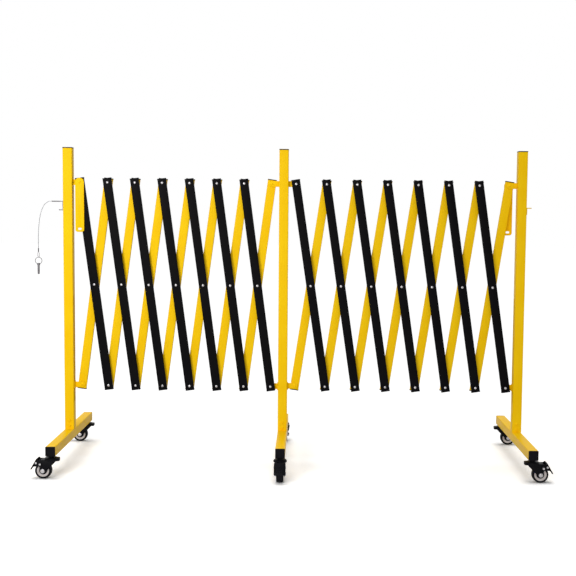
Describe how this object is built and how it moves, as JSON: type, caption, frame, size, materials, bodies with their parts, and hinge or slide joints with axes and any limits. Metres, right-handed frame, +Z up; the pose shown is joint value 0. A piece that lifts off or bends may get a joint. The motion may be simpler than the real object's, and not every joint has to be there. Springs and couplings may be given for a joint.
{
  "type": "expandable safety barrier",
  "caption": "Expanding safety barrier with crossed black and yellow slats on three wheeled stands, with link hardware and a lock pin at its left end.",
  "frame": {"origin": "on the floor, midway between the two end posts and in the plane of the post fronts' middle, under the panels", "axes": "+X along the barrier to its right end as seen from the front, +Y to the back, +Z up; the front faces -Y"},
  "size_m": [1.6349, 0.63, 1.0161],
  "materials": {
    "yellow_powder_coat": "satin",
    "yellow_slats": "satin",
    "black_slats": "satin",
    "black_steel": "satin",
    "caster_rubber": "matte",
    "bare_steel": "polished"
  },
  "bodies": {
    "centre_stand": {"centre_post": "yellow_powder_coat", "centre_foot": "yellow_powder_coat"},
    "left_stand": {"left_post": "yellow_powder_coat", "left_foot": "yellow_powder_coat", "lanyard_wire": "bare_steel", "lock_pin": "bare_steel"},
    "right_stand": {"right_post": "yellow_powder_coat", "right_foot": "yellow_powder_coat"},
    "left_front_fork": {"left_front_fork": "black_steel"},
    "left_front_wheel": {"left_front_wheel": "caster_rubber"},
    "left_front_brake_pedal": {"left_front_brake_pedal": "black_steel"},
    "left_back_fork": {"left_back_fork": "black_steel"},
    "left_back_wheel": {"left_back_wheel": "caster_rubber"},
    "left_back_brake_pedal": {"left_back_brake_pedal": "black_steel"},
    "centre_front_fork": {"centre_front_fork": "black_steel"},
    "centre_front_wheel": {"centre_front_wheel": "caster_rubber"},
    "centre_front_brake_pedal": {"centre_front_brake_pedal": "black_steel"},
    "centre_back_fork": {"centre_back_fork": "black_steel"},
    "centre_back_wheel": {"centre_back_wheel": "caster_rubber"},
    "centre_back_brake_pedal": {"centre_back_brake_pedal": "black_steel"},
    "right_front_fork": {"right_front_fork": "black_steel"},
    "right_front_wheel": {"right_front_wheel": "caster_rubber"},
    "right_front_brake_pedal": {"right_front_brake_pedal": "black_steel"},
    "right_back_fork": {"right_back_fork": "black_steel"},
    "right_back_wheel": {"right_back_wheel": "caster_rubber"},
    "right_back_brake_pedal": {"right_back_brake_pedal": "black_steel"},
    "left_black_slat_1": {"left_black_slat_1": "black_slats"},
    "left_black_slat_2": {"left_black_slat_2": "black_slats"},
    "left_black_slat_3": {"left_black_slat_3": "black_slats"},
    "left_black_slat_4": {"left_black_slat_4": "black_slats"},
    "left_black_slat_5": {"left_black_slat_5": "black_slats"},
    "left_black_slat_6": {"left_black_slat_6": "black_slats"},
    "left_black_slat_7": {"left_black_slat_7": "black_slats"},
    "left_yellow_slat_1": {"left_yellow_slat_1": "yellow_slats"},
    "left_yellow_slat_2": {"left_yellow_slat_2": "yellow_slats"},
    "left_yellow_slat_3": {"left_yellow_slat_3": "yellow_slats"},
    "left_yellow_slat_4": {"left_yellow_slat_4": "yellow_slats"},
    "left_yellow_slat_5": {"left_yellow_slat_5": "yellow_slats"},
    "left_yellow_slat_6": {"left_yellow_slat_6": "yellow_slats"},
    "left_yellow_slat_7": {"left_yellow_slat_7": "yellow_slats"},
    "left_latch_strap": {"left_latch_strap": "yellow_powder_coat"},
    "right_black_slat_1": {"right_black_slat_1": "black_slats"},
    "right_black_slat_2": {"right_black_slat_2": "black_slats"},
    "right_black_slat_3": {"right_black_slat_3": "black_slats"},
    "right_black_slat_4": {"right_black_slat_4": "black_slats"},
    "right_black_slat_5": {"right_black_slat_5": "black_slats"},
    "right_black_slat_6": {"right_black_slat_6": "black_slats"},
    "right_black_slat_7": {"right_black_slat_7": "black_slats"},
    "right_yellow_slat_1": {"right_yellow_slat_1": "yellow_slats"},
    "right_yellow_slat_2": {"right_yellow_slat_2": "yellow_slats"},
    "right_yellow_slat_3": {"right_yellow_slat_3": "yellow_slats"},
    "right_yellow_slat_4": {"right_yellow_slat_4": "yellow_slats"},
    "right_yellow_slat_5": {"right_yellow_slat_5": "yellow_slats"},
    "right_yellow_slat_6": {"right_yellow_slat_6": "yellow_slats"},
    "right_yellow_slat_7": {"right_yellow_slat_7": "yellow_slats"},
    "right_latch_strap": {"right_latch_strap": "yellow_powder_coat"},
    "left_slider": {"left_slider": "yellow_powder_coat"},
    "centre_left_slider": {"centre_left_slider": "yellow_powder_coat"},
    "centre_right_slider": {"centre_right_slider": "yellow_powder_coat"},
    "right_slider": {"right_slider": "yellow_powder_coat"}
  },
  "joints": [
    {"name": "right_panel_fold", "type": "hinge", "parent": "centre_stand", "child": "right_black_slat_1", "pos_m": [0.00364, 0, 0.90459], "axis": [0, -1, 0], "range_deg": [-5.5, 21.5]},
    {"name": "right_middle_rivet_1", "type": "hinge", "parent": "right_black_slat_1", "child": "right_yellow_slat_1", "pos_m": [0.05284, 0, 0.57549], "axis": [0, -1, 0], "range_deg": [-43, 11.01]},
    {"name": "right_top_rivet_1", "type": "hinge", "parent": "right_yellow_slat_1", "child": "right_black_slat_2", "pos_m": [0.10203, 0, 0.90459], "axis": [0, -1, 0], "range_deg": [-11.01, 43]},
    {"name": "right_middle_rivet_2", "type": "hinge", "parent": "right_black_slat_2", "child": "right_yellow_slat_2", "pos_m": [0.15123, 0, 0.57549], "axis": [0, -1, 0], "range_deg": [-43, 11.01]},
    {"name": "right_top_rivet_2", "type": "hinge", "parent": "right_yellow_slat_2", "child": "right_black_slat_3", "pos_m": [0.20043, 0, 0.90459], "axis": [0, -1, 0], "range_deg": [-11.01, 43]},
    {"name": "right_middle_rivet_3", "type": "hinge", "parent": "right_black_slat_3", "child": "right_yellow_slat_3", "pos_m": [0.24962, 0, 0.57549], "axis": [0, -1, 0], "range_deg": [-43, 11.01]},
    {"name": "right_top_rivet_3", "type": "hinge", "parent": "right_yellow_slat_3", "child": "right_black_slat_4", "pos_m": [0.29882, 0, 0.90459], "axis": [0, -1, 0], "range_deg": [-11.01, 43]},
    {"name": "right_middle_rivet_4", "type": "hinge", "parent": "right_black_slat_4", "child": "right_yellow_slat_4", "pos_m": [0.34802, 0, 0.57549], "axis": [0, -1, 0], "range_deg": [-43, 11.01]},
    {"name": "right_top_rivet_4", "type": "hinge", "parent": "right_yellow_slat_4", "child": "right_black_slat_5", "pos_m": [0.39721, 0, 0.90459], "axis": [0, -1, 0], "range_deg": [-11.01, 43]},
    {"name": "right_middle_rivet_5", "type": "hinge", "parent": "right_black_slat_5", "child": "right_yellow_slat_5", "pos_m": [0.44641, 0, 0.57549], "axis": [0, -1, 0], "range_deg": [-43, 11.01]},
    {"name": "right_top_rivet_5", "type": "hinge", "parent": "right_yellow_slat_5", "child": "right_black_slat_6", "pos_m": [0.49561, 0, 0.90459], "axis": [0, -1, 0], "range_deg": [-11.01, 43]},
    {"name": "right_middle_rivet_6", "type": "hinge", "parent": "right_black_slat_6", "child": "right_yellow_slat_6", "pos_m": [0.5448, 0, 0.57549], "axis": [0, -1, 0], "range_deg": [-43, 11.01]},
    {"name": "right_top_rivet_6", "type": "hinge", "parent": "right_yellow_slat_6", "child": "right_black_slat_7", "pos_m": [0.594, 0, 0.90459], "axis": [0, -1, 0], "range_deg": [-11.01, 43]},
    {"name": "right_middle_rivet_7", "type": "hinge", "parent": "right_black_slat_7", "child": "right_yellow_slat_7", "pos_m": [0.6432, 0, 0.57549], "axis": [0, -1, 0], "range_deg": [-43, 11.01]},
    {"name": "right_stand_pivot", "type": "hinge", "parent": "right_yellow_slat_7", "child": "right_stand", "pos_m": [0.69239, 0, 0.90459], "axis": [0, -1, 0], "range_deg": [-5.5, 21.5]},
    {"name": "right_slider_pivot", "type": "hinge", "parent": "right_black_slat_7", "child": "right_slider", "pos_m": [0.69239, 0, 0.2464], "axis": [0, -1, 0], "range_deg": [-21.5, 5.5]},
    {"name": "centre_right_slider_pivot", "type": "hinge", "parent": "right_yellow_slat_1", "child": "centre_right_slider", "pos_m": [0.00364, 0, 0.2464], "axis": [0, -1, 0], "range_deg": [-5.5, 21.5]},
    {"name": "left_panel_fold", "type": "hinge", "parent": "centre_stand", "child": "left_yellow_slat_7", "pos_m": [-0.07567, 0, 0.90459], "axis": [0, 1, 0], "range_deg": [-4.61, 22.39]},
    {"name": "left_middle_rivet_7", "type": "hinge", "parent": "left_yellow_slat_7", "child": "left_black_slat_7", "pos_m": [-0.11972, 0, 0.57477], "axis": [0, 1, 0], "range_deg": [-44.79, 9.22]},
    {"name": "left_top_rivet_6", "type": "hinge", "parent": "left_black_slat_7", "child": "left_yellow_slat_6", "pos_m": [-0.16378, 0, 0.90459], "axis": [0, 1, 0], "range_deg": [-9.22, 44.79]},
    {"name": "left_middle_rivet_6", "type": "hinge", "parent": "left_yellow_slat_6", "child": "left_black_slat_6", "pos_m": [-0.20783, 0, 0.57477], "axis": [0, 1, 0], "range_deg": [-44.79, 9.22]},
    {"name": "left_top_rivet_5", "type": "hinge", "parent": "left_black_slat_6", "child": "left_yellow_slat_5", "pos_m": [-0.25188, 0, 0.90459], "axis": [0, 1, 0], "range_deg": [-9.22, 44.79]},
    {"name": "left_middle_rivet_5", "type": "hinge", "parent": "left_yellow_slat_5", "child": "left_black_slat_5", "pos_m": [-0.29593, 0, 0.57477], "axis": [0, 1, 0], "range_deg": [-44.79, 9.22]},
    {"name": "left_top_rivet_4", "type": "hinge", "parent": "left_black_slat_5", "child": "left_yellow_slat_4", "pos_m": [-0.33998, 0, 0.90459], "axis": [0, 1, 0], "range_deg": [-9.22, 44.79]},
    {"name": "left_middle_rivet_4", "type": "hinge", "parent": "left_yellow_slat_4", "child": "left_black_slat_4", "pos_m": [-0.38403, 0, 0.57477], "axis": [0, 1, 0], "range_deg": [-44.79, 9.22]},
    {"name": "left_top_rivet_3", "type": "hinge", "parent": "left_black_slat_4", "child": "left_yellow_slat_3", "pos_m": [-0.42808, 0, 0.90459], "axis": [0, 1, 0], "range_deg": [-9.22, 44.79]},
    {"name": "left_middle_rivet_3", "type": "hinge", "parent": "left_yellow_slat_3", "child": "left_black_slat_3", "pos_m": [-0.47214, 0, 0.57477], "axis": [0, 1, 0], "range_deg": [-44.79, 9.22]},
    {"name": "left_top_rivet_2", "type": "hinge", "parent": "left_black_slat_3", "child": "left_yellow_slat_2", "pos_m": [-0.51619, 0, 0.90459], "axis": [0, 1, 0], "range_deg": [-9.22, 44.79]},
    {"name": "left_middle_rivet_2", "type": "hinge", "parent": "left_yellow_slat_2", "child": "left_black_slat_2", "pos_m": [-0.56024, 0, 0.57477], "axis": [0, 1, 0], "range_deg": [-44.79, 9.22]},
    {"name": "left_top_rivet_1", "type": "hinge", "parent": "left_black_slat_2", "child": "left_yellow_slat_1", "pos_m": [-0.60429, 0, 0.90459], "axis": [0, 1, 0], "range_deg": [-9.22, 44.79]},
    {"name": "left_middle_rivet_1", "type": "hinge", "parent": "left_yellow_slat_1", "child": "left_black_slat_1", "pos_m": [-0.64834, 0, 0.57477], "axis": [0, 1, 0], "range_deg": [-44.79, 9.22]},
    {"name": "left_stand_pivot", "type": "hinge", "parent": "left_black_slat_1", "child": "left_stand", "pos_m": [-0.69239, 0, 0.90459], "axis": [0, 1, 0], "range_deg": [-4.61, 22.39]},
    {"name": "left_slider_pivot", "type": "hinge", "parent": "left_yellow_slat_1", "child": "left_slider", "pos_m": [-0.69239, 0, 0.24495], "axis": [0, 1, 0], "range_deg": [-22.39, 4.61]},
    {"name": "centre_left_slider_pivot", "type": "hinge", "parent": "left_black_slat_7", "child": "centre_left_slider", "pos_m": [-0.07567, 0, 0.24495], "axis": [0, 1, 0], "range_deg": [-4.61, 22.39]},
    {"name": "left_strap_swing", "type": "hinge", "parent": "left_stand", "child": "left_latch_strap", "pos_m": [-0.69239, 0, 0.90459], "axis": [0, 1, 0], "range_deg": [-95, 95]},
    {"name": "right_strap_swing", "type": "hinge", "parent": "right_stand", "child": "right_latch_strap", "pos_m": [0.69239, 0, 0.90459], "axis": [0, 1, 0], "range_deg": [-95, 95]},
    {"name": "left_front_swivel", "type": "hinge", "parent": "left_stand", "child": "left_front_fork", "pos_m": [-0.73205, -0.254, 0.065], "axis": [0, 0, 1], "continuous": true},
    {"name": "left_front_wheel_spin", "type": "hinge", "parent": "left_front_fork", "child": "left_front_wheel", "pos_m": [-0.75555, -0.254, 0.025], "axis": [0, -1, 0], "continuous": true},
    {"name": "left_front_brake_press", "type": "hinge", "parent": "left_front_fork", "child": "left_front_brake_pedal", "pos_m": [-0.76305, -0.254, 0.046], "axis": [0, -1, 0], "range_deg": [0, 8]},
    {"name": "left_back_swivel", "type": "hinge", "parent": "left_stand", "child": "left_back_fork", "pos_m": [-0.73205, 0.254, 0.065], "axis": [0, 0, 1], "continuous": true},
    {"name": "left_back_wheel_spin", "type": "hinge", "parent": "left_back_fork", "child": "left_back_wheel", "pos_m": [-0.75555, 0.254, 0.025], "axis": [0, -1, 0], "continuous": true},
    {"name": "left_back_brake_press", "type": "hinge", "parent": "left_back_fork", "child": "left_back_brake_pedal", "pos_m": [-0.76305, 0.254, 0.046], "axis": [0, -1, 0], "range_deg": [0, 8]},
    {"name": "centre_front_swivel", "type": "hinge", "parent": "centre_stand", "child": "centre_front_fork", "pos_m": [-0.03602, -0.254, 0.065], "axis": [0, 0, 1], "continuous": true},
    {"name": "centre_front_wheel_spin", "type": "hinge", "parent": "centre_front_fork", "child": "centre_front_wheel", "pos_m": [-0.03602, -0.2775, 0.025], "axis": [1, 0, 0], "continuous": true},
    {"name": "centre_front_brake_press", "type": "hinge", "parent": "centre_front_fork", "child": "centre_front_brake_pedal", "pos_m": [-0.03602, -0.285, 0.046], "axis": [1, 0, 0], "range_deg": [0, 8]},
    {"name": "centre_back_swivel", "type": "hinge", "parent": "centre_stand", "child": "centre_back_fork", "pos_m": [-0.03602, 0.254, 0.065], "axis": [0, 0, 1], "continuous": true},
    {"name": "centre_back_wheel_spin", "type": "hinge", "parent": "centre_back_fork", "child": "centre_back_wheel", "pos_m": [-0.03602, 0.2775, 0.025], "axis": [-1, 0, 0], "continuous": true},
    {"name": "centre_back_brake_press", "type": "hinge", "parent": "centre_back_fork", "child": "centre_back_brake_pedal", "pos_m": [-0.03602, 0.285, 0.046], "axis": [-1, 0, 0], "range_deg": [0, 8]},
    {"name": "right_front_swivel", "type": "hinge", "parent": "right_stand", "child": "right_front_fork", "pos_m": [0.73205, -0.254, 0.065], "axis": [0, 0, 1], "continuous": true},
    {"name": "right_front_wheel_spin", "type": "hinge", "parent": "right_front_fork", "child": "right_front_wheel", "pos_m": [0.75555, -0.254, 0.025], "axis": [0, 1, 0], "continuous": true},
    {"name": "right_front_brake_press", "type": "hinge", "parent": "right_front_fork", "child": "right_front_brake_pedal", "pos_m": [0.76305, -0.254, 0.046], "axis": [0, 1, 0], "range_deg": [0, 8]},
    {"name": "right_back_swivel", "type": "hinge", "parent": "right_stand", "child": "right_back_fork", "pos_m": [0.73205, 0.254, 0.065], "axis": [0, 0, 1], "continuous": true},
    {"name": "right_back_wheel_spin", "type": "hinge", "parent": "right_back_fork", "child": "right_back_wheel", "pos_m": [0.75555, 0.254, 0.025], "axis": [0, 1, 0], "continuous": true},
    {"name": "right_back_brake_press", "type": "hinge", "parent": "right_back_fork", "child": "right_back_brake_pedal", "pos_m": [0.76305, 0.254, 0.046], "axis": [0, 1, 0], "range_deg": [0, 8]}
  ],
  "couplings": [
    {"joint": "right_middle_rivet_1", "follows": "right_panel_fold", "ratio": -2},
    {"joint": "right_top_rivet_1", "follows": "right_panel_fold", "ratio": 2},
    {"joint": "right_middle_rivet_2", "follows": "right_panel_fold", "ratio": -2},
    {"joint": "right_top_rivet_2", "follows": "right_panel_fold", "ratio": 2},
    {"joint": "right_middle_rivet_3", "follows": "right_panel_fold", "ratio": -2},
    {"joint": "right_top_rivet_3", "follows": "right_panel_fold", "ratio": 2},
    {"joint": "right_middle_rivet_4", "follows": "right_panel_fold", "ratio": -2},
    {"joint": "right_top_rivet_4", "follows": "right_panel_fold", "ratio": 2},
    {"joint": "right_middle_rivet_5", "follows": "right_panel_fold", "ratio": -2},
    {"joint": "right_top_rivet_5", "follows": "right_panel_fold", "ratio": 2},
    {"joint": "right_middle_rivet_6", "follows": "right_panel_fold", "ratio": -2},
    {"joint": "right_top_rivet_6", "follows": "right_panel_fold", "ratio": 2},
    {"joint": "right_middle_rivet_7", "follows": "right_panel_fold", "ratio": -2},
    {"joint": "right_stand_pivot", "follows": "right_panel_fold", "ratio": 1},
    {"joint": "right_slider_pivot", "follows": "right_panel_fold", "ratio": -1},
    {"joint": "centre_right_slider_pivot", "follows": "right_panel_fold", "ratio": 1},
    {"joint": "left_middle_rivet_7", "follows": "left_panel_fold", "ratio": -2},
    {"joint": "left_top_rivet_6", "follows": "left_panel_fold", "ratio": 2},
    {"joint": "left_middle_rivet_6", "follows": "left_panel_fold", "ratio": -2},
    {"joint": "left_top_rivet_5", "follows": "left_panel_fold", "ratio": 2},
    {"joint": "left_middle_rivet_5", "follows": "left_panel_fold", "ratio": -2},
    {"joint": "left_top_rivet_4", "follows": "left_panel_fold", "ratio": 2},
    {"joint": "left_middle_rivet_4", "follows": "left_panel_fold", "ratio": -2},
    {"joint": "left_top_rivet_3", "follows": "left_panel_fold", "ratio": 2},
    {"joint": "left_middle_rivet_3", "follows": "left_panel_fold", "ratio": -2},
    {"joint": "left_top_rivet_2", "follows": "left_panel_fold", "ratio": 2},
    {"joint": "left_middle_rivet_2", "follows": "left_panel_fold", "ratio": -2},
    {"joint": "left_top_rivet_1", "follows": "left_panel_fold", "ratio": 2},
    {"joint": "left_middle_rivet_1", "follows": "left_panel_fold", "ratio": -2},
    {"joint": "left_stand_pivot", "follows": "left_panel_fold", "ratio": 1},
    {"joint": "left_slider_pivot", "follows": "left_panel_fold", "ratio": -1},
    {"joint": "centre_left_slider_pivot", "follows": "left_panel_fold", "ratio": 1}
  ]
}
